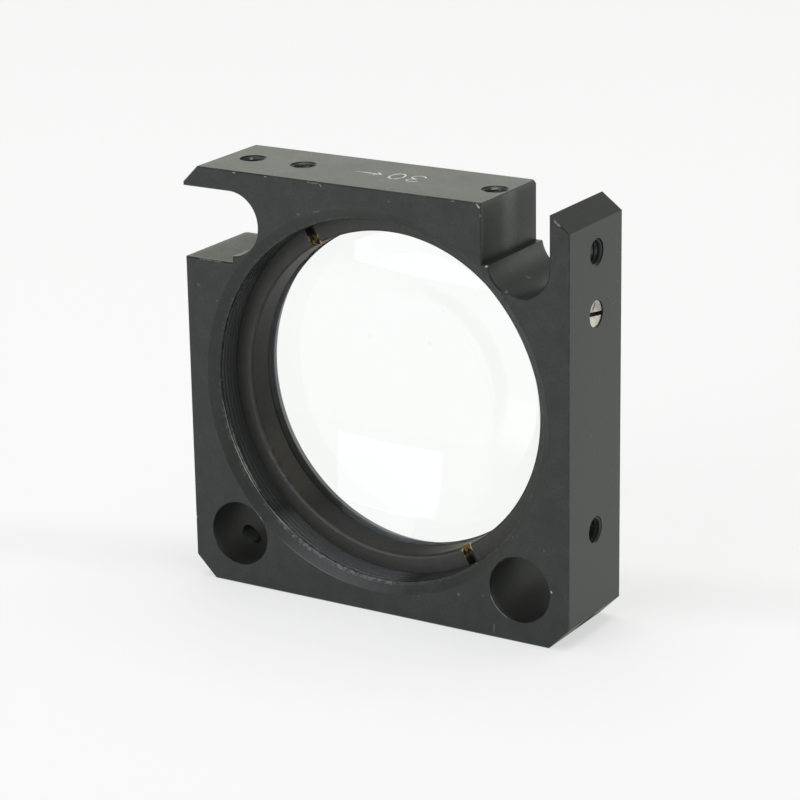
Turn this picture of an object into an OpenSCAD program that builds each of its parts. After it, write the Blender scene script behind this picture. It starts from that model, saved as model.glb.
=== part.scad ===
// Lens mount plate for a four-rod optical rail: a square plate carries a lens behind
// a threaded retaining ring, runs on four 6 mm rods and locks with small set screws.
// Millimetres. X is to the right, Y runs along the optical axis away from the front
// face, Z is up. The origin is on the optical axis, at the middle of the plate.

/* [Plate] */
// Side length of the square plate
plate_w = 40; // [36:0.5:44]
// Thickness of the plate along the optical axis
plate_t = 10; // [9:0.1:14]
// Break on the outer edges of the front face
front_edge_break = 0.1; // [0.05:0.05:0.3]
// Break on the outer edges of the back face
back_edge_break = 0.3; // [0.05:0.05:0.5]

/* [Rod seats] */
// Distance of each rod's middle from the two nearest side faces
rod_edge = 5; // [4.5:0.1:5.5]
// Diameter of the rod bores and of the round seats in the open slots
rod_bore_d = 6.1; // [5.5:0.05:6.7]
// Extra width of an open slot on the side that faces the lens
slot_relief = 0.6; // [0.2:0.05:0.8]
// How far the flat side of the left slot runs past the middle of its rod
side_slot_reach = 0.2; // [0.1:0.05:0.6]
// How far the flat side of the upper slot runs past the middle of its rod
top_slot_reach = 0.5; // [0.1:0.05:0.6]
// Flat left on the end of the arm that points sideways, beside its chamfer
side_arm_tip = 0.35; // [0.05:0.05:1]
// How far the end of the arm that points upwards lies below the top face
top_arm_drop = 0.3; // [0.05:0.05:0.8]
// How much shorter that arm's chamfer is on the right face than the arm is thick
top_arm_ease = 0.2; // [0.05:0.05:0.8]

/* [Lens bore] */
// Least wall between the bore's bevelled mouth and a rod bore
rod_web = 0.16; // [0.1:0.01:0.6]
// Depth of the bevelled mouth
mouth_depth = 0.5; // [0.2:0.05:1]
// Step from the mouth's radius down to the nominal radius of the ring's thread
thread_step = 0.75; // [0.5:0.05:1]
// Thread left free behind the retaining ring
thread_runout = 0.4; // [0.3:0.05:0.6]
// Step from the thread's nominal radius down to the lens's radius
lens_step = 1.5; // [1.2:0.1:2]
// Width of the seat that the lens rests on
seat_w = 0.75; // [0.5:0.05:1.5]
// Thickness of the shoulder behind the lens
shoulder_t = 2; // [1.5:0.1:2.4]
// Bevel at the back of the clear aperture
rear_bevel = 0.8; // [0.2:0.1:1]

/* [Lens] */
// Radius of curvature of both lens faces
lens_face_r = 62; // [54:1:200]
// Thickness of the lens at its rim
lens_rim_t = 1.7; // [1.2:0.1:2.2]
// Bevel around both edges of the lens
lens_rim_bevel = 0.2; // [0.1:0.05:0.3]
// Radial clearance between the lens and its bore
lens_clearance = 0.05; // [0.02:0.01:0.1]
// Gap that keeps neighbouring pieces from sharing a surface
seat_gap = 0.02; // [0.01:0.01:0.05]

/* [Retaining ring] */
// Length of the ring along the optical axis
ring_t = 2.75; // [2:0.05:3.2]
// Step from the thread's nominal radius down to the ring's bore
ring_wall = 2; // [1.7:0.1:2.3]
// Bevel at the front of the ring's bore
ring_bore_bevel = 0.2; // [0.1:0.05:0.4]
// Bevel at the front of the ring's thread
ring_thread_bevel = 0.4; // [0.1:0.05:0.6]
// Radial clearance between the ring and the thread in the plate
ring_clearance = 0.05; // [0.02:0.01:0.1]
// Width of the two spanner slots
spanner_slot_w = 1; // [0.6:0.1:1.6]
// Depth of the two spanner slots
spanner_slot_depth = 1; // [0.5:0.1:1.6]
// Direction of the line through both spanner slots, from +X towards +Z
spanner_slot_angle = 120; // [0:5:180]

/* [Clamp and lock screws] */
// Diameter of the tapped holes, drawn at the thread's nominal size
tapped_d = 2.5; // [2:0.1:3]
// Flat left on both sides of the clamp hole in each lower corner's chamfer
corner_land = 0.2; // [0.05:0.05:0.6]
// Shift of a slot's clamp hole from the middle of its rod, away from the lens
clamp_shift = 0.55; // [0:0.05:0.8]
// Wall between a lock hole and the slot beside it
lock_web = 0.1; // [0.1:0.05:1]
// Wall between the end of a lock hole's thread and the ring's thread
lock_floor = 0.13; // [0.1:0.01:0.5]
// Radial clearance between the set screw and its hole
screw_clearance = 0.03; // [0.01:0.01:0.06]
// How far the set screw's end lies below the side face
screw_recess = 0.05; // [0:0.05:0.5]
// Bevel at both ends of the set screw's thread
screw_bevel = 0.3; // [0.1:0.05:0.4]
// Width of the set screw's slot
screw_slot_w = 0.4; // [0.3:0.05:0.6]
// Depth of the set screw's slot
screw_slot_depth = 0.8; // [0.4:0.1:1.2]
// Turn of the set screw's slot away from horizontal
screw_slot_angle = 5; // [0:5:90]

/* [Hidden] */
$fn = 128;

// Length by which a cutting tool runs past the surface that it enters
overrun = 1;
half_w = plate_w / 2;
half_t = plate_t / 2;
rod_pos = half_w - rod_edge;
rod_r = rod_bore_d / 2;
tapped_r = tapped_d / 2;

// Radii of the stepped lens bore, each from the next wider one
mouth_r = rod_pos * sqrt(2) - rod_r - rod_web;
thread_r = mouth_r - thread_step;
ring_r = thread_r - ring_clearance;
ring_bore_r = thread_r - ring_wall;
lens_r = thread_r - lens_step;
aperture_r = lens_r - seat_w;

// Depth of a lens face's rim, at radius r, behind its middle
function sag(r) = lens_face_r - sqrt(pow(lens_face_r, 2) - pow(r, 2));

// Depths behind the front face, from the shoulder forwards
shoulder_depth = plate_t - shoulder_t;
lens_back = shoulder_depth + sag(aperture_r) - seat_gap;
lens_front = lens_back - lens_rim_t - 2 * sag(lens_r);
ring_back = lens_front + sag(ring_bore_r) - seat_gap;
ring_front = ring_back - ring_t;
thread_end = ring_back + thread_runout;

// Core hole below the thread of a lock hole, the set screw's point that reaches
// through it, and the room left between their two steps
core_r = 0.82 * tapped_r;
point_r = 0.6 * tapped_r;
step_gap = 0.2;

// Distances of the lock holes, of the ends of their threads and cores, and of the
// slots' clamp holes from the plate's middle
lock_offset = rod_pos - rod_r - slot_relief - lock_web - tapped_r;
lock_thread_end = sqrt(pow(thread_r, 2) - pow(lock_offset - tapped_r, 2)) + lock_floor;
lock_core_end = sqrt(pow(ring_r, 2) - pow(lock_offset + core_r, 2));
clamp_offset = rod_pos + clamp_shift;

// Reach of the set screw, from the ring to just below the side face
screw_r = tapped_r - screw_clearance;
screw_tip = sqrt(pow(ring_r, 2) - pow(lock_offset - point_r, 2)) + seat_gap;
screw_step = lock_thread_end + step_gap;
screw_end = half_w - screw_recess;

// Chamfers of the lower corners and of the two arms' tips
foot_chamfer = (tapped_d + 2 * corner_land) / sqrt(2);
arm_t = half_w - rod_pos - rod_r;
side_arm_chamfer = arm_t - side_arm_tip;
top_arm_cut = arm_t - top_arm_ease;
top_arm_run = arm_t * top_arm_cut / (top_arm_cut - top_arm_drop);

// Outline of the plate, seen from the front
outline = [
    [-half_w + side_arm_chamfer, half_w],
    [half_w - top_arm_run, half_w],
    [half_w, half_w - top_arm_cut],
    [half_w, -half_w + foot_chamfer],
    [half_w - foot_chamfer, -half_w],
    [-half_w + foot_chamfer, -half_w],
    [-half_w, -half_w + foot_chamfer],
    [-half_w, half_w - side_arm_chamfer]
];

// Turns a profile of [radius, depth] points about the optical axis
module turned(profile) {
    translate([0, -half_t, 0])
        rotate([-90, 0, 0])
            rotate_extrude()
                polygon(profile);
}

// Turns its children clockwise from the top face: 1 is the right face, 1.5 the corner
// at the lower right and 2.5 the corner at the lower left
module on_side(side) {
    rotate([0, 90 * side, 0])
        children();
}

// Cuts one outer edge at 45 degrees, from corner a to corner b of the outline
module edge_cut(a, b, depth, size) {
    run = b - a;
    translate([(a[0] + b[0]) / 2, depth - half_t, (a[1] + b[1]) / 2])
        rotate([0, -atan2(run[1], run[0]), 0])
            rotate([45, 0, 0])
                cube([norm(run) + 2 * size, size * sqrt(2), size * sqrt(2)], center = true);
}

// The plate before it is bored
module plate_blank() {
    difference() {
        translate([0, half_t, 0])
            rotate([90, 0, 0])
                linear_extrude(height = plate_t)
                    polygon(outline);
        for (i = [0 : len(outline) - 1]) {
            a = outline[i];
            b = outline[(i + 1) % len(outline)];
            edge_cut(a, b, 0, front_edge_break);
            edge_cut(a, b, plate_t, back_edge_break);
        }
    }
}

// Bevelled mouth, ring thread, lens bore, shoulder and clear aperture
module lens_bore() {
    lens_bore_r = lens_r + lens_clearance;
    turned([
        [0, -overrun],
        [mouth_r, -overrun],
        [mouth_r, 0],
        [thread_r, mouth_depth],
        [thread_r, thread_end],
        [lens_bore_r, thread_end],
        [lens_bore_r, shoulder_depth],
        [aperture_r, shoulder_depth],
        [aperture_r, plate_t - rear_bevel],
        [aperture_r + rear_bevel, plate_t],
        [aperture_r + rear_bevel, plate_t + overrun],
        [0, plate_t + overrun]
    ]);
}

// One round rod bore at the plate's place [x, z]
module rod_bore(x, z) {
    translate([x, 0, z])
        rotate([90, 0, 0])
            cylinder(h = plate_t + 2 * overrun, r = rod_r, center = true);
}

// Flat-sided slot that opens the rod bore at the upper left to the left
module rod_slot(reach) {
    slot_w = 2 * rod_r + slot_relief;
    slot_l = half_w - rod_pos + reach + overrun;
    translate([-half_w - overrun, -half_t - overrun, rod_pos + rod_r - slot_w])
        cube([slot_l, plate_t + 2 * overrun, slot_w]);
}

// Round hole in the top face, from the given height up past the face
module top_hole(x, bottom, r) {
    translate([x, 0, bottom])
        cylinder(h = half_w - bottom + overrun, r = r);
}

// Hole for the screw that clamps the rod in an open slot
module clamp_hole() {
    top_hole(-clamp_offset, rod_pos, tapped_r);
}

// The same for a closed rod bore, drilled along the diagonal from the corner's chamfer
module corner_clamp_hole() {
    middle = rod_pos * sqrt(2);
    translate([0, 0, middle])
        cylinder(h = half_w * sqrt(2) - middle, r = tapped_r);
}

// Pair of holes for the screws that lock the retaining ring
module lock_holes() {
    for (x = [-lock_offset, lock_offset]) {
        top_hole(x, lock_thread_end, tapped_r);
        top_hole(x, lock_core_end, core_r);
    }
}

module mount_plate() {
    color([0.22, 0.23, 0.23])
        difference() {
            plate_blank();
            lens_bore();
            for (x = [-rod_pos, rod_pos], z = [-rod_pos, rod_pos])
                rod_bore(x, z);
            for (side = [0, 1]) {
                on_side(side) rod_slot(side == 0 ? side_slot_reach : top_slot_reach);
                on_side(side) clamp_hole();
                on_side(side) lock_holes();
            }
            for (corner = [1.5, 2.5])
                on_side(corner) corner_clamp_hole();
        }
}

module lens() {
    steps = 24;
    radii = [for (i = [0 : steps]) (lens_r - lens_rim_bevel) * i / steps];
    front_face = [for (r = radii) [r, lens_front + sag(r)]];
    back_face = [for (i = [steps : -1 : 0]) [radii[i], lens_back - sag(radii[i])]];
    color([0.80, 0.90, 0.92, 0.45])
        turned(concat(
            front_face,
            [[lens_r, lens_front + sag(lens_r) + lens_rim_bevel]],
            [[lens_r, lens_back - sag(lens_r) - lens_rim_bevel]],
            back_face
        ));
}

module retaining_ring() {
    color([0.27, 0.25, 0.21])
        difference() {
            turned([
                [ring_bore_r, ring_front + ring_bore_bevel],
                [ring_bore_r + ring_bore_bevel, ring_front],
                [ring_r - ring_thread_bevel, ring_front],
                [ring_r, ring_front + ring_thread_bevel],
                [ring_r, ring_back],
                [ring_bore_r, ring_back]
            ]);
            translate([0, ring_front - half_t, 0])
                rotate([0, -spanner_slot_angle, 0])
                    cube([2 * ring_r + overrun, 2 * spanner_slot_depth, spanner_slot_w],
                        center = true);
        }
}

// The screw that locks the ring at the upper right, with a plain point at its inner end
module set_screw() {
    color("silver")
        translate([0, 0, lock_offset])
            rotate([0, 90, 0])
                difference() {
                    rotate_extrude()
                        polygon([
                            [0, screw_tip],
                            [point_r, screw_tip],
                            [point_r, screw_step],
                            [screw_r - screw_bevel, screw_step],
                            [screw_r, screw_step + screw_bevel],
                            [screw_r, screw_end - screw_bevel / 2],
                            [screw_r - screw_bevel / 2, screw_end],
                            [0, screw_end]
                        ]);
                    translate([0, 0, screw_end])
                        rotate([0, 0, 90 - screw_slot_angle])
                            cube([tapped_d, screw_slot_w, 2 * screw_slot_depth],
                                center = true);
                }
}

mount_plate();
lens();
retaining_ring();
set_screw();
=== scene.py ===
"""Optical lens mount on a pale studio floor, laid out as a Blender add-on.

Sizes in the settings are metres. Shapes are worked out in millimetres, in the row's
frame: X right, Y along the optical axis away from the front face, Z up. A "depth" is
measured from the front face backwards.
"""

import math

import bmesh
import bpy
from bpy.props import FloatProperty, FloatVectorProperty, IntProperty, PointerProperty
from mathutils import Matrix, Vector


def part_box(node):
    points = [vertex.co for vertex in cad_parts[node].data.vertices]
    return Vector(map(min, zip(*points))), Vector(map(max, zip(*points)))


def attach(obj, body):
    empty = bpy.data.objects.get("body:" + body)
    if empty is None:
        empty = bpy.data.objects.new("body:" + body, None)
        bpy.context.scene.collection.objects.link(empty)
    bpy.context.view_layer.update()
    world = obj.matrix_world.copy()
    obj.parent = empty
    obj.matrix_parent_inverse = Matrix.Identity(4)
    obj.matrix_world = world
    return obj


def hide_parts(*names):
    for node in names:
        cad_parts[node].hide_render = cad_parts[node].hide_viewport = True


bl_info = {
    "name": "Optical lens mount",
    "version": (1, 0, 0),
    "blender": (4, 5, 0),
    "location": "3D View > Sidebar > Lens Mount",
    "description": "Builds a rod-guided lens plate with its lens, ring and set screw",
    "category": "Object",
}

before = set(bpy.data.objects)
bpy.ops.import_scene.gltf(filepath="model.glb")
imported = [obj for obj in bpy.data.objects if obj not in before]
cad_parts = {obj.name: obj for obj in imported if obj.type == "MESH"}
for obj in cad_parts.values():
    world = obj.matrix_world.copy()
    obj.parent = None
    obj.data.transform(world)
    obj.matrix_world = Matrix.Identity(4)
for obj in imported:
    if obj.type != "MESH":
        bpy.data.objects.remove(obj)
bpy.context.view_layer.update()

MM = 0.001
PLATE_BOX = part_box("mount_plate")
LENS_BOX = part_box("lens")
RING_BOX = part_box("retaining_ring")
SCREW_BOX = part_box("set_screw")
# The plate's half width, where its faces stand along Y and its thickness, in millimetres
HALF = PLATE_BOX[1].x / MM
FRONT = PLATE_BOX[0].y / MM
BACK = PLATE_BOX[1].y / MM
THICK = (PLATE_BOX[1].y - PLATE_BOX[0].y) / MM
# Edges that turn by more than this many degrees stay crisp
CRISP_ANGLE = 22.0


# ---------------------------------------------------------------- settings


def length(name, description, default):
    """A size in metres, written in millimetres where the class is defined."""
    return FloatProperty(
        name=name,
        description=description,
        default=default * MM,
        min=0.0,
        unit="LENGTH",
        subtype="DISTANCE",
        precision=5,
    )


def colour(name, description, default):
    return FloatVectorProperty(
        name=name,
        description=description,
        default=default,
        size=3,
        min=0.0,
        max=1.0,
        subtype="COLOR",
    )


def angle(name, description, degrees):
    """A turn, written in degrees and kept in radians."""
    return FloatProperty(
        name=name,
        description=description,
        default=math.radians(degrees),
        unit="ROTATION",
        subtype="ANGLE",
    )


def part_of_one(name, description, default):
    return FloatProperty(name=name, description=description, default=default, min=0.0, max=1.0)


class PlateSettings(bpy.types.PropertyGroup):
    rod_place: length("Rod place", "Distance of each rod from the middle, both ways", 15.0)
    rod_radius: length("Rod bore radius", "Radius of the rod bores", 3.05)
    slot_relief: length("Slot relief", "Extra width of an open slot over its rod bore", 0.6)
    side_reach: length("Left slot reach", "How far the left slot runs past its rod's middle", 0.2)
    top_reach: length("Upper slot reach", "How far the upper slot runs past its rod's middle", 0.5)
    side_arm_tip: length("Side arm tip", "Land left on the upper left arm's tip", 0.35)
    top_arm_drop: length("Top arm drop", "Upper right arm's tip, below the top face", 0.3)
    top_arm_cut: length("Top arm cut", "Height of that arm's chamfer on the right face", 1.75)
    foot_chamfer: length("Foot chamfer", "Chamfer of both lower corners", 2.051)
    front_break: length("Front edge break", "Bevel round the front face", 0.1)
    back_break: length("Back edge break", "Bevel round the back face", 0.3)
    slot_break: length("Slot edge break", "Bevel of the slots' edges at the back", 0.1)
    mouth_radius: length("Mouth radius", "Radius of the bevelled mouth at the front face", 18.003)
    thread_root: length("Ring thread root", "Largest radius of the fine inner thread", 17.035)
    thread_crest: length("Ring thread crest", "Smallest radius of the fine inner thread", 16.98)
    thread_pitch: length("Ring thread pitch", "Pitch of the fine inner thread", 0.5)
    hole_root: length("Screw thread root", "Largest radius of a tapped hole", 1.25)
    hole_crest: length("Screw thread crest", "Smallest radius of a tapped hole", 1.06)
    hole_pitch: length("Screw thread pitch", "Pitch of a tapped hole", 0.45)
    lock_offset: length("Lock hole offset", "Lock holes' distance from the middle", 10.0)
    clamp_offset: length("Clamp hole offset", "Clamp holes' distance from the middle", 15.55)
    anodise: colour("Anodise", "Colour of the black anodised skin", (0.0115, 0.0145, 0.0130))
    # Painted shade: the darker colour that the anodise takes deep in bores and slots, where shade falls
    recess_shade_skin: colour("Bored anodise", "Colour of the anodise in bores and slots", (0.0080, 0.0090, 0.0080))
    # Dust and painted sheen: paler anodise where it is dusty, and also where the thread and the tapped holes
    # would catch light
    dust_and_sheen_skin: colour("Dry anodise", "Colour of the anodise where it is dull and dusty", (0.126, 0.135, 0.137))
    bare_metal: colour("Bare aluminium", "Colour where the skin is worn off", (0.62, 0.62, 0.58))
    engraving: colour("Engraving", "Colour of the engraved strokes", (0.90, 0.90, 0.86))


class LensSettings(bpy.types.PropertyGroup):
    face_radius: length("Face radius", "Radius of curvature of both faces", 62.0)
    rim_bevel: length("Rim bevel", "Bevel round both edges of the rim", 0.1)
    rings: IntProperty(name="Rings", description="Steps from middle to rim", default=40, min=8)
    index: FloatProperty(name="Index", description="Refractive index", default=1.52, min=1.0)
    tint: colour("Tint", "Faint colour of the glass", (0.99, 0.995, 0.99))
    coating: colour("Coating", "Share of each colour that the coated faces still mirror", (0.42, 0.44, 0.50))


class RingSettings(bpy.types.PropertyGroup):
    bore_radius: length("Bore radius", "Inner radius of the ring", 15.253)
    bore_round: length("Bore rounding", "Rounding at the front of the ring's bore", 0.38)
    thread_bevel: length("Thread bevel", "Bevel at the front of the ring's thread", 0.25)
    slot_width: length("Slot width", "Width of the spanner slots", 1.0)
    slot_depth: length("Slot depth", "Depth of the spanner slots", 1.0)
    slot_angle: angle("Slot angle", "Turn of the spanner slots, from +X towards +Z", 120)
    black: colour("Black finish", "Colour of the blackened brass", (0.024, 0.023, 0.021))
    brass: colour("Bare brass", "Colour where the slots are worn bare", (0.86, 0.62, 0.25))
    # Painted reflection: the colour of a brown patch on the ring's bore that stands in for light reflected
    # there
    painted_reflection_tone: colour("Brown finish", "Colour where the black finish is thin", (0.085, 0.078, 0.060))


class ScrewSettings(bpy.types.PropertyGroup):
    radius: length("Radius", "Outer radius of the thread", 1.22)
    point_radius: length("Point radius", "Radius of the plain point", 0.75)
    step_place: length("Step place", "Where the point meets the thread, from the middle", 15.196)
    dome: length("Dome", "How far the slotted end is crowned", 0.05)
    rim_round: length("Rim rounding", "Rounding of the slotted end's rim", 0.05)
    slot_width: length("Slot width", "Width of the screwdriver slot", 0.38)
    slot_depth: length("Slot depth", "Depth of the screwdriver slot", 0.8)
    slot_angle: angle("Slot angle", "Turn of the screwdriver slot away from horizontal", 8.5)
    steel: colour("Steel", "Colour of the bright turned steel", (0.70, 0.64, 0.59))


class StageSettings(bpy.types.PropertyGroup):
    azimuth: angle("Azimuth", "Camera's turn round the mount, from the front towards +X", 31.546)
    elevation: angle("Elevation", "Camera's height above the horizon", 17.864)
    roll: angle("Roll", "Camera's turn about its own line of sight", -0.958)
    distance: length("Distance", "From the camera to its target", 271.82)
    target: FloatVectorProperty(
        name="Target",
        description="Point that the camera looks at",
        default=(-0.174 * MM, 0.0, -0.960 * MM),
        size=3,
        unit="LENGTH",
        subtype="TRANSLATION",
    )
    focal_length: FloatProperty(
        name="Focal length",
        description="On a sensor 36 mm wide, in millimetres",
        default=133.84,
        min=10.0,
    )
    floor: colour("Floor", "Colour of the floor", (0.95, 0.925, 0.935))
    glow: colour("Glow", "Colour of the light that shines through the floor", (0.974, 0.988, 0.979))
    glow_share: part_of_one("Glow share", "How much of the floor's look is that light", 0.62)
    mirrored_glow: colour("Mirrored glow", "The same light as the faces mirror it", (0.82, 0.94, 0.84))
    mirrored_share: part_of_one(
        "Mirrored share", "How much of the mirrored floor's look is that light", 0.5
    )
    # A faint darker band across the floor along a line: where it crosses the Y axis and how it leans
    band_place: length("Fold place", "Where the floor's faint fold crosses the Y axis", 6.1)
    band_lean: FloatProperty(
        name="Fold lean", description="How far the fold runs back per metre to the right", default=0.29
    )
    backdrop: colour("Backdrop", "Light of the low backdrop behind the mount", (1.40, 1.45, 1.28))
    room: colour("Room", "Light of the dim room above and in front", (0.20, 0.205, 0.20))


GROUPS = {
    "lens_mount_plate": PlateSettings,
    "lens_mount_lens": LensSettings,
    "lens_mount_ring": RingSettings,
    "lens_mount_screw": ScrewSettings,
    "lens_mount_stage": StageSettings,
}


def settings(context, part):
    return getattr(context.scene, "lens_mount_" + part)


# ---------------------------------------------------------------- node helpers


class Bench:
    """Adds and links nodes in one tree. A value may be a number, a tuple or a socket."""

    def __init__(self, tree):
        self.tree = tree

    def put(self, socket, value):
        if isinstance(value, bpy.types.NodeSocket):
            self.tree.links.new(value, socket)
        elif value is not None:
            socket.default_value = value

    def node(self, kind, inputs=None, **options):
        made = self.tree.nodes.new(kind)
        for key, value in options.items():
            setattr(made, key, value)
        for key, value in (inputs or {}).items():
            self.put(made.inputs[key], value)
        return made

    def math(self, operation, *values, clamp=False):
        made = self.node("ShaderNodeMath", operation=operation, use_clamp=clamp)
        for socket, value in zip(made.inputs, values):
            self.put(socket, value)
        return made.outputs[0]

    def times(self, first, second):
        return self.math("MULTIPLY", first, second)

    def plus(self, first, second):
        return self.math("ADD", first, second)

    def minus(self, first, second):
        return self.math("SUBTRACT", first, second)

    def greater(self, first, second):
        return self.math("MAXIMUM", first, second)

    def vector(self, operation, *values):
        made = self.node("ShaderNodeVectorMath", operation=operation)
        for socket, value in zip(made.inputs, values):
            self.put(socket, value)
        single = operation in {"LENGTH", "DISTANCE", "DOT_PRODUCT"}
        return made.outputs["Value" if single else "Vector"]

    def place(self):
        """The shaded point, in the piece's own coordinates."""
        return self.node("ShaderNodeTexCoord").outputs["Object"]

    def split(self, vector):
        """The three parts of a vector."""
        return self.node("ShaderNodeSeparateXYZ", {"Vector": vector}).outputs

    def fade(self, value, low, high, start=0.0, end=1.0):
        """Smooth step of a value from start at low to end at high."""
        made = self.node("ShaderNodeMapRange", interpolation_type="SMOOTHSTEP")
        for socket, number in zip(made.inputs, (value, low, high, start, end)):
            self.put(socket, number)
        return made.outputs[0]

    def blend(self, factor, first, second):
        made = self.node("ShaderNodeMix", data_type="RGBA")
        self.put(made.inputs["Factor"], factor)
        self.put(made.inputs["A"], opaque(first))
        self.put(made.inputs["B"], opaque(second))
        return made.outputs["Result"]

    def noise(self, where, scale, detail=2.0, roughness=0.5):
        made = self.node(
            "ShaderNodeTexNoise",
            {"Vector": where, "Scale": scale, "Detail": detail, "Roughness": roughness},
        )
        return made.outputs[0]

    def group(self, tree, **inputs):
        made = self.node("ShaderNodeGroup", node_tree=tree)
        for key, value in inputs.items():
            self.put(made.inputs[key.replace("_", " ").capitalize()], value)
        return made


def opaque(value):
    """A three-part colour with its alpha; sockets pass as they are."""
    if isinstance(value, bpy.types.NodeSocket):
        return value
    return (*value[:3], 1.0)


def scaled(values, factor):
    """Each of a colour's or a point's values times one factor."""
    return tuple(value * factor for value in values)


def effect_group(name, inputs, outputs):
    """An empty shader node group: its bench, what it is given and what it puts out."""
    tree = bpy.data.node_groups.new(name, "ShaderNodeTree")
    for label, default in inputs:
        kind = "NodeSocketVector" if isinstance(default, tuple) else "NodeSocketFloat"
        socket = tree.interface.new_socket(label, in_out="INPUT", socket_type=kind)
        socket.default_value = default
    for label in outputs:
        tree.interface.new_socket(label, in_out="OUTPUT", socket_type="NodeSocketFloat")
    bench = Bench(tree)
    given, out = bench.node("NodeGroupInput"), bench.node("NodeGroupOutput")
    return bench, given.outputs, out.inputs


def kept_group(build):
    """The node group that a builder makes, made only once."""
    found = bpy.data.node_groups.get(build.__name__)
    return found or build(build.__name__)


def metal_grain(name):
    """Fine blasted grain, slow mottling and scattered pale specks."""
    given_inputs = [
        ("Grain scale", 9000.0),
        ("Mottle scale", 500.0),
        ("Speck scale", 1500.0),
        ("Speck amount", 0.5),
    ]
    bench, given, out = effect_group(name, given_inputs, ["Grain", "Mottle", "Specks"])
    where = bench.place()
    bench.put(out["Grain"], bench.noise(where, given["Grain scale"], 3.0, 0.6))
    bench.put(out["Mottle"], bench.noise(where, given["Mottle scale"], 4.0, 0.7))
    cells = bench.node("ShaderNodeTexVoronoi", {"Vector": where, "Scale": given["Speck scale"]})
    chance = bench.node("ShaderNodeSeparateColor", {"Color": cells.outputs["Color"]}).outputs[0]
    chosen = bench.math("LESS_THAN", chance, given["Speck amount"])
    near = bench.fade(cells.outputs["Distance"], 0.22, 0.08)
    bench.put(out["Specks"], bench.times(chosen, near))
    return bench.tree


def edge_wear_and_depth(name):
    """Wear along a block's edges, where two of its faces are near, and two depths inside it.

    Inside rises slowly with the distance from the nearest face, Mouth at once. Inside is also used for
    painted shade deep in bores and slots, Mouth for painted light in the tapped holes.
    """
    bench, given, out = effect_group(
        name,
        [("Half size", (0.02, 0.005, 0.02)), ("Width", 0.0002), ("Break up", 2500.0)],
        ["Wear", "Inside", "Mouth"],
    )
    where = bench.place()
    gaps = bench.vector("SUBTRACT", given["Half size"], bench.vector("ABSOLUTE", where))
    x, y, z = bench.split(gaps)
    lower = bench.math("MINIMUM", bench.greater(x, y), bench.greater(y, z))
    second = bench.math("MINIMUM", lower, bench.greater(x, z))
    ragged = bench.noise(where, given["Break up"], 3.0, 0.6)
    reach = bench.times(given["Width"], bench.times(ragged, 2.0))
    bench.put(out["Wear"], bench.fade(bench.math("DIVIDE", second, reach), 1.0, 0.5))
    nearest = bench.math("MINIMUM", bench.math("MINIMUM", x, y), z)
    bench.put(out["Inside"], bench.fade(nearest, 0.1 * MM, 0.7 * MM))
    bench.put(out["Mouth"], bench.fade(nearest, 0.06 * MM, 0.22 * MM))
    return bench.tree


def band_mask(name):
    """A mask on a narrow band turned about the Y direction, within an arc of it, for wear, roughness, and
    painted sheen and reflection.
    """
    bench, given, out = effect_group(
        name,
        [
            ("Centre", (0.0, 0.0, 0.0)),
            ("Radius", 0.01),
            ("Width", 0.0001),
            ("Reach", 0.0001),
            ("Arc middle", 0.0),
            ("Arc half", math.pi),
            ("Break up", 2500.0),
        ],
        ["Wear"],
    )
    where = bench.place()
    away = bench.vector("SUBTRACT", where, given["Centre"])
    x, y, z = bench.split(away)
    flat = bench.node("ShaderNodeCombineXYZ", {"X": x, "Y": 0.0, "Z": z}).outputs[0]
    off = bench.minus(bench.vector("LENGTH", flat), given["Radius"])
    across = bench.math("DIVIDE", bench.math("ABSOLUTE", off), given["Width"])
    along = bench.math("DIVIDE", bench.math("ABSOLUTE", y), given["Reach"])
    gap = bench.greater(across, along)
    ragged = bench.times(bench.noise(where, given["Break up"], 3.0, 0.6), 2.0)
    near = bench.fade(bench.math("DIVIDE", gap, ragged), 1.1, 0.6)
    turn = bench.minus(bench.math("ARCTAN2", z, x), given["Arc middle"])
    turn = bench.math("ABSOLUTE", bench.math("WRAP", turn, math.pi, -math.pi))
    inside = bench.fade(bench.minus(given["Arc half"], turn), -0.05, 0.15)
    bench.put(out["Wear"], bench.times(near, inside))
    return bench.tree


def ragged_mark(name):
    """A ragged mark or spot from one point to another, for wear and for painted light and shade."""
    given_inputs = [
        ("Start", (0.0, 0.0, 0.0)),
        ("End", (0.0, 0.0, 0.001)),
        ("Width", 0.0001),
        ("Break up", 2.4),
    ]
    bench, given, out = effect_group(name, given_inputs, ["Wear"])
    where = bench.place()
    run = bench.vector("SUBTRACT", given["End"], given["Start"])
    away = bench.vector("SUBTRACT", where, given["Start"])
    reached = bench.vector("DOT_PRODUCT", away, run)
    share = bench.math("DIVIDE", reached, bench.vector("DOT_PRODUCT", run, run), clamp=True)
    off = bench.vector("DISTANCE", away, bench.vector("MULTIPLY", run, share))
    ragged = bench.minus(bench.noise(where, 6000.0, 2.0), 0.5)
    ragged = bench.times(ragged, given["Break up"])
    gap = bench.plus(bench.math("DIVIDE", off, given["Width"]), ragged)
    bench.put(out["Wear"], bench.fade(gap, 0.9, 0.2))
    return bench.tree


def new_material(name, **uniform):
    """A material and its bench and shader; uniform values go on the shader's own sockets."""
    material = bpy.data.materials.new(name)
    material.use_nodes = True
    bench = Bench(material.node_tree)
    shader = material.node_tree.nodes["Principled BSDF"]
    for key, value in uniform.items():
        shader.inputs[key.replace("_", " ")].default_value = value
    return material, bench, shader


# ---------------------------------------------------------------- mesh helpers


def mesh_from(name, points, faces):
    mesh = bpy.data.meshes.new(name)
    mesh.from_pydata(points, [], faces)
    mesh.validate()
    mesh.update()
    return mesh


def strips(rows, count, rows_closed=False, row_closed=True):
    """Four-sided faces between neighbouring rows of count points each."""
    faces = []
    for row in range(rows if rows_closed else rows - 1):
        here, there = row * count, (row + 1) % rows * count
        for i in range(count if row_closed else count - 1):
            j = (i + 1) % count
            faces.append((here + i, here + j, there + j, there + i))
    return faces


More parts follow.
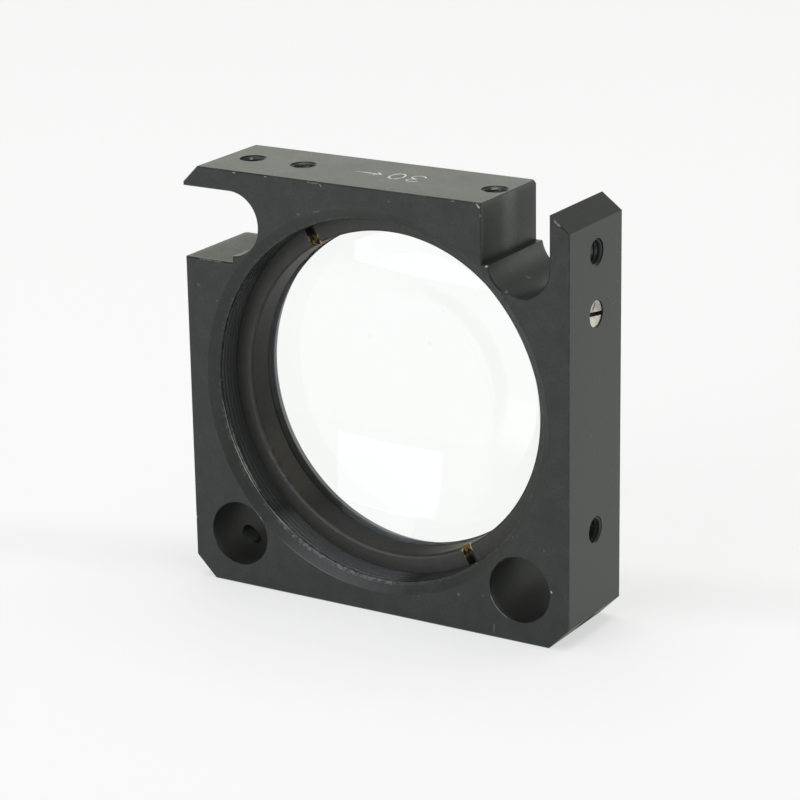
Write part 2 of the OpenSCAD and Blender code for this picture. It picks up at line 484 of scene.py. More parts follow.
def turned_mesh(name, profile, segments, closed=True):
    """Solid turned about local Z from (radius, height) points.

    A closed profile is a loop off the axis; an open one starts and ends on the axis.
    """
    inner = profile if closed else profile[1:-1]
    count = len(inner)
    points = []
    for step in range(segments):
        turn = 2 * math.pi * step / segments
        points += [(r * math.cos(turn), r * math.sin(turn), h) for r, h in inner]
    faces = strips(segments, count, rows_closed=True, row_closed=closed)
    if not closed:
        first, last = len(points), len(points) + 1
        points += [(0.0, 0.0, profile[0][1]), (0.0, 0.0, profile[-1][1])]
        for step in range(segments):
            here, there = step * count, (step + 1) % segments * count
            faces += [(first, there, here), (last, here + count - 1, there + count - 1)]
    return outward(mesh_from(name, points, faces))


def outward(mesh):
    """Merges doubles, turns every face outwards and hands the mesh back."""
    shell = bmesh.new()
    shell.from_mesh(mesh)
    bmesh.ops.remove_doubles(shell, verts=shell.verts, dist=1e-5)
    bmesh.ops.recalc_face_normals(shell, faces=shell.faces)
    shell.to_mesh(mesh)
    shell.free()
    return mesh


def prism_mesh(name, outline, low, high):
    """Upright prism over a closed outline in local XY."""
    count = len(outline)
    points = [(x, y, low) for x, y in outline] + [(x, y, high) for x, y in outline]
    faces = [tuple(reversed(range(count))), tuple(range(count, 2 * count))]
    return outward(mesh_from(name, points, faces + strips(2, count)))


def slab_mesh(name, half_x, half_y, low, high):
    """Block centred on local Z."""
    outline = [(-half_x, -half_y), (half_x, -half_y), (half_x, half_y), (-half_x, half_y)]
    return prism_mesh(name, outline, low, high)


def arc(centre, radius, start, end, steps):
    """Points of an arc, from start to end degrees."""
    turns = [math.radians(start + (end - start) * i / steps) for i in range(steps + 1)]
    return [(centre[0] + radius * math.cos(t), centre[1] + radius * math.sin(t)) for t in turns]


def link(name, mesh):
    made = bpy.data.objects.new(name, mesh)
    bpy.context.scene.collection.objects.link(made)
    return made


def discard(thing):
    mesh = thing.data
    bpy.data.objects.remove(thing)
    bpy.data.meshes.remove(mesh)


def baked(thing):
    """The evaluated mesh of an object, as a plain mesh."""
    bpy.context.view_layer.update()
    graph = bpy.context.evaluated_depsgraph_get()
    return bpy.data.meshes.new_from_object(thing.evaluated_get(graph))


def carve(blank, cutters):
    """Cuts every cutter mesh out of the blank mesh and returns the result."""
    target = link("carving", blank)
    for cutter in cutters:
        tool = link("cutter", cutter)
        modifier = target.modifiers.new("cut", "BOOLEAN")
        modifier.operation = "DIFFERENCE"
        modifier.solver = "MANIFOLD"
        modifier.object = tool
        result = baked(target)
        target.modifiers.clear()
        if len(result.polygons) < 6:
            raise RuntimeError(f"the cut by {cutter.name} left nothing")
        old = target.data
        target.data = result
        bpy.data.meshes.remove(old)
        discard(tool)
    result = target.data
    bpy.data.objects.remove(target)
    return result


def finish_piece(name, mesh, node, materials):
    """Makes the finished piece that stands for a CAD node."""
    mesh.transform(Matrix.Scale(MM, 4))
    mesh.materials.clear()
    for material in materials:
        mesh.materials.append(material)
    for face in mesh.polygons:
        face.use_smooth = True
    mesh.set_sharp_from_angle(angle=math.radians(CRISP_ANGLE))
    mesh.update()
    piece = link(name, mesh)
    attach(piece, "root")
    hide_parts(node)
    return piece


# ---------------------------------------------------------------- thread cutter


def thread_tree():
    """Geometry Nodes tree that sweeps one V groove along a spiral."""
    found = bpy.data.node_groups.get("thread groove")
    if found:
        return found
    tree = bpy.data.node_groups.new("thread groove", "GeometryNodeTree")
    floats = [
        ("Middle radius", 5.0),
        ("Groove height", 0.5),
        ("Inner width", 0.4),
        ("Outer width", 0.1),
        ("Pitch", 0.75),
        ("Turns", 4.0),
    ]
    for label, default in floats:
        socket = tree.interface.new_socket(label, in_out="INPUT", socket_type="NodeSocketFloat")
        socket.default_value = default
    steps = tree.interface.new_socket("Points per turn", in_out="INPUT", socket_type="NodeSocketInt")
    steps.default_value = 48
    tree.interface.new_socket("Material", in_out="INPUT", socket_type="NodeSocketMaterial")
    tree.interface.new_socket("Geometry", in_out="OUTPUT", socket_type="NodeSocketGeometry")
    bench = Bench(tree)
    given, out = bench.node("NodeGroupInput").outputs, bench.node("NodeGroupOutput").inputs
    height = bench.times(given["Pitch"], given["Turns"])
    spiral = bench.node(
        "GeometryNodeCurveSpiral",
        {
            "Resolution": given["Points per turn"],
            "Rotations": given["Turns"],
            "Start Radius": given["Middle radius"],
            "End Radius": given["Middle radius"],
            "Height": height,
            "Reverse": False,
        },
    )
    upright = bench.node("GeometryNodeSetCurveNormal", {"Curve": spiral.outputs[0]}, mode="Z_UP")
    groove = bench.node(
        "GeometryNodeCurvePrimitiveQuadrilateral",
        {
            "Height": given["Groove height"],
            "Bottom Width": given["Outer width"],
            "Top Width": given["Inner width"],
            "Offset": 0.0,
        },
        mode="TRAPEZOID",
    )
    turned = bench.node(
        "GeometryNodeTransform",
        {"Geometry": groove.outputs[0], "Rotation": (0.0, 0.0, math.radians(90))},
    )
    sweep = bench.node(
        "GeometryNodeCurveToMesh",
        {"Curve": upright.outputs[0], "Profile Curve": turned.outputs[0], "Fill Caps": True},
    )
    real = bench.node("GeometryNodeRealizeInstances", {"Geometry": sweep.outputs[0]})
    dressed = bench.node(
        "GeometryNodeSetMaterial",
        {"Geometry": real.outputs[0], "Material": given["Material"]},
    )
    bench.put(out[0], dressed.outputs[0])
    return tree


def thread_groove(crest, root, pitch, turns, steps, material, overlap=0.06):
    """Groove of an inner thread along local Z, from 0 up, as a solid to cut away.

    The V has 60 degree flanks and a flat of an eighth of the pitch at its root, and
    runs a little inside the crest, so that its mouth is open.
    """
    tree = thread_tree()
    carrier = link("thread", bpy.data.meshes.new("thread"))
    modifier = carrier.modifiers.new("thread", "NODES")
    modifier.node_group = tree
    inner = crest - overlap
    slope = math.tan(math.radians(30))
    root_width = pitch / 8
    values = {
        "Middle radius": (inner + root) / 2,
        "Groove height": root - inner,
        "Inner width": root_width + 2 * slope * (root - inner),
        "Outer width": root_width,
        "Pitch": pitch,
        "Turns": turns,
        "Points per turn": steps,
        "Material": material,
    }
    for item in tree.interface.items_tree:
        if item.item_type == "SOCKET" and item.in_out == "INPUT":
            modifier[item.identifier] = values[item.name]
    result = baked(carrier)
    carrier.modifiers.clear()
    discard(carrier)
    result.materials.clear()
    return outward(result)


# ---------------------------------------------------------------- mount plate


def plate_outline(s):
    """The plate's outline with both open slots, anticlockwise from the lower left.

    Returns the points (x, z) in millimetres, and for each whether the edge that
    starts there belongs to a slot.
    """
    place, radius = s.rod_place / MM, s.rod_radius / MM
    wall = place + radius
    inner = wall - 2 * radius - s.slot_relief / MM
    side_end, top_end = place - s.side_reach / MM, place - s.top_reach / MM
    foot = s.foot_chamfer / MM
    side_cut = HALF - wall - s.side_arm_tip / MM
    right_top = (HALF, HALF - s.top_arm_cut / MM)
    tip = (wall, HALF - s.top_arm_drop / MM)

    def meet(reach):
        """Angle of the bore, in degrees, at which a slot's flat end meets it."""
        return math.degrees(math.asin(reach / s.rod_radius))

    top_arc = arc((place, place), radius, 0, meet(s.top_reach) - 180, 60)
    side_arc = arc((-place, place), radius, 90, meet(s.side_reach) - 90, 60)
    runs = [
        (False, [(-HALF + foot, -HALF), (HALF - foot, -HALF), (HALF, -HALF + foot), right_top]),
        (True, [tip, *top_arc, (inner, top_end)]),
        (False, [(inner, HALF), (-HALF + side_cut, HALF), (-HALF, HALF - side_cut)]),
        (True, [(-HALF, wall), *side_arc, (-side_end, inner)]),
        (False, [(-HALF, inner), (-HALF, -HALF + foot)]),
    ]
    points = [point for _, run in runs for point in run]
    slots = [slot for slot, run in runs for _ in run]
    return points, slots


def inset(points, amounts):
    """Moves each edge i of an anticlockwise outline inwards by amounts[i]."""
    moved, nearly_straight = [], 0.12
    for i, point in enumerate(points):
        before, here = Vector(points[i - 1]), Vector(point)
        after = Vector(points[(i + 1) % len(points)])
        first, second = (here - before).normalized(), (after - here).normalized()
        n1, n2 = Vector((-first.y, first.x)), Vector((-second.y, second.x))
        a1, a2 = amounts[i - 1], amounts[i]
        cross = n1.x * n2.y - n1.y * n2.x
        if abs(cross) < nearly_straight:
            shift = (n1 + n2).normalized() * (a1 + a2) / 2
        else:
            shift = Vector((a1 * n2.y - a2 * n1.y, a2 * n1.x - a1 * n2.x)) / cross
        moved.append(here + shift)
    return moved


def plate_blank(s):
    """The bevelled block with its slots, before it is bored."""
    points, slots = plate_outline(s)
    front, back, slot = s.front_break / MM, s.back_break / MM, s.slot_break / MM

    def amounts(outer, inner):
        return [inner if is_slot else outer for is_slot in slots]

    layers = [
        (FRONT, amounts(front, slot)),
        (FRONT + slot, amounts(front - slot, 0.0)),
        (FRONT + front, amounts(0.0, 0.0)),
        (BACK - back, amounts(0.0, 0.0)),
        (BACK - slot, amounts(back - slot, 0.0)),
        (BACK, amounts(back, slot)),
    ]
    count = len(points)
    verts = [(p[0], y, p[1]) for y, moves in layers for p in inset(points, moves)]
    last = (len(layers) - 1) * count
    faces = strips(len(layers), count)
    faces += [tuple(reversed(range(count))), tuple(range(last, last + count))]
    return outward(mesh_from("plate blank", verts, faces))


def along_axis(mesh, x=0.0, z=0.0):
    """Lays a mesh turned about local Z along the optical axis, its zero at the front face."""
    mesh.transform(Matrix.Translation((x, FRONT, z)) @ Matrix.Rotation(math.radians(-90), 4, "X"))
    return mesh


def depths(box):
    """Front and back of a piece's box, as depths from the plate's front face."""
    return tuple((corner.y - PLATE_BOX[0].y) / MM for corner in box)


def on_side(mesh, side, shift=0.0):
    """Puts a mesh made about local Z on a side face: 0 top, 1 right, 1.5 and 2.5 the feet."""
    turn = Matrix.Rotation(math.radians(90 * side), 4, "Y")
    mesh.transform(turn @ Matrix.Translation((shift, 0.0, 0.0)))
    return mesh


def lens_bore(s):
    """Bevelled mouth, thread crest, lens bore, shoulder and clear aperture, in one tool."""
    mouth, crest = s.mouth_radius / MM, s.thread_crest / MM
    slope, clearance, over = 1.5, 0.05, 0.4
    lens_wall = LENS_BOX[1].x / MM + clearance
    ring_wall = RING_BOX[1].x / MM + clearance
    seat_width, rear_bevel = 0.8, 0.8
    seat = lens_wall - seat_width
    thread_end, relief_start, ring_end, shoulder = 3.3, 3.4, 6.34, THICK - 2.0
    profile = [
        (0.0, -over),
        (mouth + slope * over, -over),
        (crest, (mouth - crest) / slope),
        (crest, thread_end),
        (ring_wall, relief_start),
        (ring_wall, ring_end),
        (lens_wall, ring_end),
        (lens_wall, shoulder),
        (seat, shoulder),
        (seat, THICK - rear_bevel),
        (seat + rear_bevel + over, THICK + over),
        (0.0, THICK + over),
    ]
    return along_axis(turned_mesh("lens bore", profile, 256, closed=False))


def rod_bore(s, x, z):
    """Rod bore with a light break at both faces."""
    r, flare, over = s.rod_radius / MM, 0.08, 0.3
    profile = [
        (0.0, -over),
        (r + flare + over, -over),
        (r, flare),
        (r, THICK - flare),
        (r + flare + over, THICK + over),
        (0.0, THICK + over),
    ]
    return along_axis(turned_mesh("rod bore", profile, 96, closed=False), x, z)


def tapped_hole(s, bottom, top, core=None, radius=None):
    """Drilled hole along local Z; core is (radius, bottom). With a thread to come, it is
    lightly countersunk; a hole of a given radius stays sharp."""
    r = radius or s.hole_crest / MM
    sink, over, land = 0.02 if radius else 0.16, 0.3, 0.03
    start = [(0.0, bottom), (r, bottom)]
    if core:
        start = [(0.0, core[1]), (core[0], core[1]), (core[0], bottom), (r, bottom)]
    edge = r + sink if radius else max(r + sink, s.hole_root / MM - land)
    end = [(r, top - sink), (edge, top), (edge + over, top + over), (0.0, top + over)]
    return turned_mesh("tapped hole", start + end, 64, closed=False)


def hole_thread(s, bottom, top, material):
    """The thread to cut in a tapped hole, from bottom to past its top."""
    pitch, past = s.hole_pitch / MM, 0.2
    turns = (top + past - bottom) / pitch
    groove = thread_groove(s.hole_crest / MM, s.hole_root / MM, pitch, turns, 40, material)
    groove.transform(Matrix.Translation((0.0, 0.0, bottom)))
    return groove


def mouth_thread(s, material):
    """The fine thread to cut in the mouth, from before the front face to the ring."""
    pitch, lead_in, length_cut, overlap = s.thread_pitch / MM, 1.0, 4.4, 0.09
    groove = thread_groove(
        s.thread_crest / MM, s.thread_root / MM, pitch, length_cut / pitch, 192, material, overlap
    )
    groove.transform(Matrix.Translation((0.0, 0.0, -lead_in)))
    return along_axis(groove)


def plate_cutters(s, material):
    """Every tool that is cut out of the plate's blank."""
    place, offset, clamp = s.rod_place / MM, s.lock_offset / MM, s.clamp_offset / MM
    tools = [lens_bore(s), rod_bore(s, -place, -place), rod_bore(s, place, -place)]
    tools.append(mouth_thread(s, material))
    lock_end, lock_thread_end, clamp_thread_end = 15.0, 15.3, place + 2.0
    # The core hole below a lock screw's thread: its radius and bottom
    core = (1.0, 13.3)
    screw_hole_radius = 1.235
    face = HALF * math.sqrt(2) - s.foot_chamfer / MM / math.sqrt(2)
    bore = place * math.sqrt(2)
    foot_thread_end = bore + 4.5

    def tapped(side, shift, bottom, thread_end, top, core=None):
        """A tapped hole in a side face, and its thread."""
        hole = on_side(tapped_hole(s, bottom, top, core), side, shift)
        return [hole, on_side(hole_thread(s, thread_end, top, material), side, shift)]

    for side in (0, 1):
        tools += tapped(side, -clamp, place, clamp_thread_end, HALF)
        for shift in (-offset, offset):
            if side == 1 and shift < 0:
                screw_hole = tapped_hole(s, lock_end, HALF, core, screw_hole_radius)
                tools.append(on_side(screw_hole, side, shift))
            else:
                tools += tapped(side, shift, lock_end, lock_thread_end, HALF, core)
    for corner in (1.5, 2.5):
        tools += tapped(corner, 0.0, bore, foot_thread_end, face)
    tools.append(filed_corner(s))
    return tools + engraving_tools()


def filed_corner(s):
    """Tool that rounds the block's corner between top face, upper slot and back face."""
    wall = (s.rod_place - s.rod_radius - s.slot_relief) / MM
    inside, radius, low, over = 1.6, 2.51, -1.0, 0.2
    square = [(low, low), (over, low), (over, over), (low, over)]
    block = prism_mesh("corner block", square, low, over)
    half_circle = arc((0.0, 0.0), radius, -90, 90, 30)
    ball = turned_mesh("corner ball", half_circle, 60, closed=False)
    ball.transform(Matrix.Translation((-inside, -inside, -inside)))
    tool = carve(block, [ball])
    tool.transform(Matrix.Translation((wall, BACK, HALF)))
    return tool


def oval(centre, half_width, half_height, steps):
    """Points of an oval, without its first point again at the end."""
    circle = arc((0.0, 0.0), 1.0, 0, 360, steps)[:-1]
    return [(centre[0] + half_width * x, centre[1] + half_height * y) for x, y in circle]


# Generic engraving: a plain number and a plain arrow, as strokes in millimetres on a
# flat whose u runs to the reader's right and v upwards; and whether a stroke is a loop.
THREE_UPPER = [
    (0.10, 1.85), (0.35, 2.12), (0.70, 2.20), (1.08, 2.08), (1.25, 1.78), (1.10, 1.42), (0.62, 1.22)
]
THREE_LOWER = [
    (0.62, 1.22), (1.14, 1.02), (1.32, 0.62), (1.14, 0.24), (0.70, 0.06), (0.30, 0.14), (0.05, 0.42)
]
ENGRAVED_LINES = [
    (THREE_UPPER, False),
    (THREE_LOWER, False),
    (oval((2.62, 1.13), 0.66, 1.0, 28), True),
    ([(4.3, 1.13), (6.9, 1.13)], False),
    ([(4.85, 1.55), (4.3, 1.13), (4.85, 0.71)], False),
]
ENGRAVING_PLACE = (2.5, 1.2)
# The part of the top face that the strokes stand on: low and high x, low and high y
ENGRAVED_PATCH = (-6.0, 5.0, -2.0, 2.0)
STROKE_WIDTH = 0.19
STROKE_DEPTH = 0.05
STROKE_TOP = 0.1


def stroke_outline(line, closed):
    """Outline of one stroke with round ends; a closed line gives (outer, inner) loops."""
    half = STROKE_WIDTH / 2
    count = len(line)
    left, right = [], []
    for i, here in enumerate(line):
        here = Vector(here)
        before = Vector(line[i - 1]) if closed or i else here
        after = Vector(line[(i + 1) % count]) if closed or i < count - 1 else here
        ahead = (after - before).normalized()
        side = Vector((-ahead.y, ahead.x)) * half
        left.append(tuple(here + side))
        right.append(tuple(here - side))
    if closed:
        return right, left

    def cap(here, towards):
        turn = math.degrees(math.atan2(towards.y, towards.x))
        return arc(here, half, turn - 60, turn + 60, 4)

    start, end = Vector(line[0]), Vector(line[-1])
    head = cap(end, end - Vector(line[-2]))
    tail = cap(start, start - Vector(line[1]))
    return right + head + left[::-1] + tail, None


def engraving_tools():
    """Solids of the engraved strokes, placed on the top face and read from behind."""
    u0, v0 = ENGRAVING_PLACE
    place = Matrix(((-1, 0, 0, u0), (0, -1, 0, v0), (0, 0, 1, HALF), (0, 0, 0, 1)))
    tools = []
    for line, closed in ENGRAVED_LINES:
        outer, inner = stroke_outline(line, closed)
        if closed:
            wall = [(outer, -STROKE_DEPTH), (outer, STROKE_TOP), (inner, STROKE_TOP), (inner, -STROKE_DEPTH)]
            points = [(u, v, h) for loop, h in wall for u, v in loop]
            faces = strips(len(wall), len(outer), rows_closed=True)
            mesh = outward(mesh_from("engraved loop", points, faces))
        else:
            mesh = prism_mesh("engraved stroke", outer, -STROKE_DEPTH, STROKE_TOP)
        mesh.transform(place)
        tools.append(mesh)
    return tools


def engraved_faces(mesh):
    """Gives the floors and walls of the engraved strokes the second material."""
    x_low, x_high, y_low, y_high = ENGRAVED_PATCH
    shallow, deep = 0.001, 0.08
    for face in mesh.polygons:
        x, y, z = face.center / MM
        sunk = shallow < HALF - z < deep
        if sunk and x_low < x < x_high and y_low < y < y_high:
            face.material_index = 1


# ---------------------------------------------------------------- finishes


def bump(bench, shader, height, distance, strength=1.0):
    made = bench.node(
        "ShaderNodeBump", {"Height": height, "Strength": strength, "Distance": distance}
    )
    bench.put(shader.inputs["Normal"], made.outputs[0])


def strongest(bench, masks):
    """The highest of several masks, each given with its strength."""
    highest = None
    for mask, strength in masks:
        mask = bench.times(mask, strength)
        highest = mask if highest is None else bench.greater(highest, mask)
    return highest


def ragged_marks(bench, marks, break_up=2.4):
    """The strongest of several ragged marks, for wear and for painted light and shade. Each is added as
    strongest() asks for it.
    """
    return strongest(bench, (
        (
            bench.group(
                kept_group(ragged_mark),
                Start=scaled(start, MM),
                End=scaled(end, MM),
                Width=width * MM,
                Break_up=break_up,
            ).outputs[0],
            strength,
        )
        for start, end, width, strength in marks
    ))


def on_front(marks):
    """Scratches on the front face, from x, z, x, z, width and strength."""
    return [((x, FRONT, z), (u, FRONT, v), width, strength) for x, z, u, v, width, strength in marks]


# Scratches and nicks, and one painted highlight, each with its width in millimetres and its
# strength: first those on the front face, then those in the open slots, from their starts to their ends
PLATE_SCRATCHES_AND_HIGHLIGHT = on_front([
    (-14.4, 19.85, -14.2, 19.85, 0.08, 0.5),
    (-11.0, 19.85, -10.8, 19.85, 0.06, 0.3),
    (-6.4, 19.85, -5.3, 19.85, 0.06, 0.20),
    (-5.1, 19.8, -4.95, 19.6, 0.06, 0.35),
    (8.4, 19.85, 8.7, 19.85, 0.05, 0.3),
    (11.0, 19.8, 11.2, 19.6, 0.12, 0.55),
    (11.3, 19.0, 11.3, 18.8, 0.06, 0.4),
    (11.35, 17.6, 11.35, 16.4, 0.05, 0.35),
    (18.15, 19.7, 19.0, 18.95, 0.16, 0.30),
    (18.2, -14.5, 18.3, -14.6, 0.10, 0.6),
    (12.4, -18.8, 12.4, -19.5, 0.12, 0.10),
    (8.7, -16.6, 8.8, -16.5, 0.22, 0.10),
    (-19.9, -14.3, -19.9, -14.1, 0.10, 0.6),
    (-18.7, 8.8, -18.6, 8.8, 0.20, 0.06),
    (-13.7, 10.3, -13.7, 10.1, 0.14, 0.06),
    (-11.3, 13.1, -11.2, 13.0, 0.20, 0.12),
    (-7.5, 16.8, -7.4, 16.8, 0.22, 0.06),
    (-5.8, 17.2, -5.3, 17.3, 0.12, 0.07),
    (-18.4, 11.3, -16.1, 11.3, 0.10, 0.22),
    (11.8, 14.45, 12.0, 14.45, 0.14, 0.6),
])
PLATE_SCRATCHES_AND_HIGHLIGHT += [
    # Painted highlight: this first mark in the slots is a pale line along the edge of the left rod's seat,
    # standing in for light caught by that edge
    ((-14.8, -4.9, 11.95), (-14.8, -2.7, 11.95), 0.10, 0.75),
    ((12.4, -1.7, 13.3), (12.5, -1.6, 13.3), 0.12, 0.12),
    ((13.2, -0.2, 12.5), (13.4, 0.0, 12.4), 0.20, 0.14),
    ((13.7, -4.8, 12.3), (13.6, -4.5, 12.3), 0.14, 0.25),
    ((15.2, -4.6, 12.0), (16.0, -4.5, 12.1), 0.10, 0.15),
]
# Painted highlights: pale spots inside the three upper holes that stand in for glints, in the same form
PAINTED_HOLE_GLINTS = [
    ((9.0, 0.7, 19.74), (9.8, 1.15, 19.68), 0.18, 1.0),
    ((-16.35, 0.8, 19.7), (-16.3, 0.85, 19.7), 0.20, 0.8),
    ((-10.9, 0.7, 19.66), (-10.3, 1.15, 19.62), 0.22, 0.3),
]
# Painted light: paler insides of the tapped holes, where their walls would catch light. Rougher places:
# the holes in both feet and the inner wall of the upper slot, in the same form
PAINTED_HOLE_LIGHT = [((x, 0.0, 20.0), (x, 0.0, 16.0), 2.6, 1.0) for x in (-15.55, -10.0, 10.0)]
PAINTED_HOLE_LIGHT += [((20.0, 0.0, z), (16.0, 0.0, z), 2.4, 0.6) for z in (15.55, -10.0)]
ROUGH_PLACES = [
    ((-17.9, 0.0, -17.9), (-19.2, 0.0, -19.2), 2.6, 1.0),
    ((17.9, 0.0, -17.9), (19.2, 0.0, -19.2), 2.6, 1.0),
    ((11.4, -5.0, 17.4), (11.4, 5.0, 17.4), 3.8, 0.5),
]
# Bands about the Y direction: centre x, depth y and centre z, radius, width and reach in
# millimetres, middle and half of the arc in degrees, strength
WORN_BANDS = [
    ((0.0, -4.22, 0.0), 16.98, 0.035, 0.24, 209, 12, 0.65),
    ((0.0, -4.3, 0.0), 16.98, 0.05, 0.07, 190, 10, 0.30),
    ((0.0, -4.3, 0.0), 16.98, 0.05, 0.07, 230, 7, 0.45),
    ((0.0, -5.0, 0.0), 18.0, 0.05, 0.05, 246, 13, 0.10),
    ((15.0, -5.0, -15.0), 3.10, 0.05, 0.06, 222, 26, 0.22),
    ((-15.0, -5.0, -15.0), 3.10, 0.05, 0.07, 42, 12, 0.70),
]
# Dust and painted sheen: paler anodise on the fine thread, round the lens seat and at the rod bores' rims,
# strongest where light would catch the thread; in the same form
DUST_AND_SHEEN_BANDS = [
    ((0.0, -2.7, 0.0), 17.04, 0.20, 1.7, 185, 45, 0.42),
    ((0.0, -2.85, 0.0), 17.04, 0.20, 1.75, 253, 27, 0.85),
    ((0.0, -2.85, 0.0), 17.04, 0.20, 1.75, 32, 114, 0.2),
    ((0.0, 3.3, 0.0), 15.4, 0.8, 1.1, 0, 200, 0.22),
    ((-15.0, -5.0, -15.0), 3.10, 0.05, 0.05, 0, 200, 0.12),
    ((15.0, -5.0, -15.0), 3.10, 0.05, 0.05, 0, 200, 0.12),
]
# Both closed rod bores, whose walls are rougher than the rest
BORED_BANDS = [
    ((-15.0, 0.0, -15.0), 3.05, 0.2, 9.0, 0, 200, 1.0),
    ((15.0, 0.0, -15.0), 3.05, 0.2, 9.0, 0, 200, 1.0),
]
# Painted reflection: a brown patch on the ring's bore, in the same form
RING_PAINTED_REFLECTION = [((0.0, -0.3, 0.0), 15.25, 0.5, 1.6, 216, 16, 0.6)]


def band_marks(bench, bands):
    """The strongest of several band masks. Each is added as strongest() asks for it."""
    return strongest(bench, (
        (
            bench.group(
                kept_group(band_mask),
                Centre=scaled(centre, MM),
                Radius=radius * MM,
                Width=width * MM,
                Reach=reach * MM,
                Arc_middle=math.radians(middle),
                Arc_half=math.radians(half),
                Break_up=2600.0,
            ).outputs[0],
            strength,
        )
        for centre, radius, width, reach, middle, half, strength in bands
    ))


def grain_of(bench, grain_scale, mottle_scale, speck_scale, speck_amount):
    """Grain, mottling and specks of a finish; the scales count features in a metre."""
    return bench.group(
        kept_group(metal_grain),
        Grain_scale=grain_scale,
        Mottle_scale=mottle_scale,
        Speck_scale=speck_scale,
        Speck_amount=speck_amount,
    ).outputs


def roughness(bench, grain, most, least):
    """Roughness that rises with the grain."""
    return bench.plus(bench.times(grain, most), least)


def black_anodise(s):
    """Black anodised aluminium: fine grain, slow mottling, pale specks and worn places, with painted shade
    deep in bores and slots, dust and painted sheen on the thread, and painted light and glints in the tapped
    holes.
    """
    material, bench, shader = new_material("black anodise", IOR=1.52)
    grain, mottle, specks = grain_of(bench, 4200.0, 420.0, 2400.0, 0.012)
    edges = bench.group(
        kept_group(edge_wear_and_depth), Half_size=tuple(PLATE_BOX[1]), Width=0.07 * MM, Break_up=900.0
    )
    edge, inside, mouth = edges.outputs
    dark, light = scaled(s.anodise, 0.62), scaled(s.anodise, 1.45)
    skin = bench.blend(bench.fade(mottle, 0.3, 0.7), dark, light)
    pores = bench.fade(grain, 0.62, 0.38, 0.0, 0.55)
    skin = bench.blend(pores, skin, scaled(s.anodise, 0.35))
    bored = bench.greater(band_marks(bench, BORED_BANDS), ragged_marks(bench, ROUGH_PLACES, 0.0))
    bored = bench.times(inside, bored)
    # Painted shade: the anodise is darkened deep in bores and slots
    skin = bench.blend(bench.times(inside, 0.7), skin, s.recess_shade_skin)
    # Dust and painted sheen on the thread and round the lens seat
    skin = bench.blend(band_marks(bench, DUST_AND_SHEEN_BANDS), skin, s.dust_and_sheen_skin)
    # Painted light: the tapped holes' walls are paler near their mouths
    dull = bench.times(mouth, ragged_marks(bench, PAINTED_HOLE_LIGHT, 0.5))
    skin = bench.blend(dull, skin, s.dust_and_sheen_skin)
    skin = bench.blend(bench.times(specks, 0.15), skin, s.bare_metal)
    worn = bench.times(edge, 0.06)
    worn = bench.greater(worn, band_marks(bench, WORN_BANDS))
    # Wear, with one painted highlight among the slot marks
    worn = bench.greater(worn, ragged_marks(bench, PLATE_SCRATCHES_AND_HIGHLIGHT))
    skin = bench.blend(worn, skin, s.bare_metal)
    # Painted highlights: pale spots in the upper holes stand in for glints
    skin = bench.blend(ragged_marks(bench, PAINTED_HOLE_GLINTS, 0.5), skin, scaled(s.bare_metal, 1.5))
    bench.put(shader.inputs["Base Color"], skin)
    rough = roughness(bench, grain, 0.20, 0.19)
    rough = bench.plus(rough, bench.times(mottle, 0.12))
    rough = bench.plus(rough, bench.times(inside, 0.06))
    rough = bench.plus(rough, bench.times(bored, 0.18))
    bench.put(shader.inputs["Roughness"], rough)
    height = bench.plus(grain, bench.times(mottle, 2.0))
    bump(bench, shader, height, 0.006 * MM, 0.5)
    return material


def engraved_strokes(s):
    """Pale floor of the engraved strokes."""
    material, bench, shader = new_material("engraved strokes", IOR=1.5)
    grain, mottle, _ = grain_of(bench, 12000.0, 2500.0, 3000.0, 0.1)
    fill = bench.fade(mottle, 0.35, 0.6)
    skin = bench.blend(fill, scaled(s.engraving, 0.45), s.engraving)
    bench.put(shader.inputs["Base Color"], skin)
    bench.put(shader.inputs["Roughness"], roughness(bench, grain, 0.2, 0.5))
    bump(bench, shader, grain, 0.01 * MM)
    return material


def clear_glass(s):
    """Polished lens glass with a few faint dust specks."""
    material, bench, shader = new_material(
        "clear glass",
        IOR=s.index,
        Specular_Tint=opaque(s.coating),
        Transmission_Weight=1.0,
        Metallic=0.0,
    )
    _, mottle, specks = grain_of(bench, 1200.0, 90.0, 700.0, 0.03)
    dust = (0.75, 0.75, 0.72)
    clear = bench.blend(bench.fade(mottle, 0.3, 0.7), s.tint, scaled(s.tint, 0.985))
    skin = bench.blend(bench.times(specks, 0.25), clear, dust)
    bench.put(shader.inputs["Base Color"], skin)
    bench.put(shader.inputs["Roughness"], bench.times(specks, 0.15))
    return material


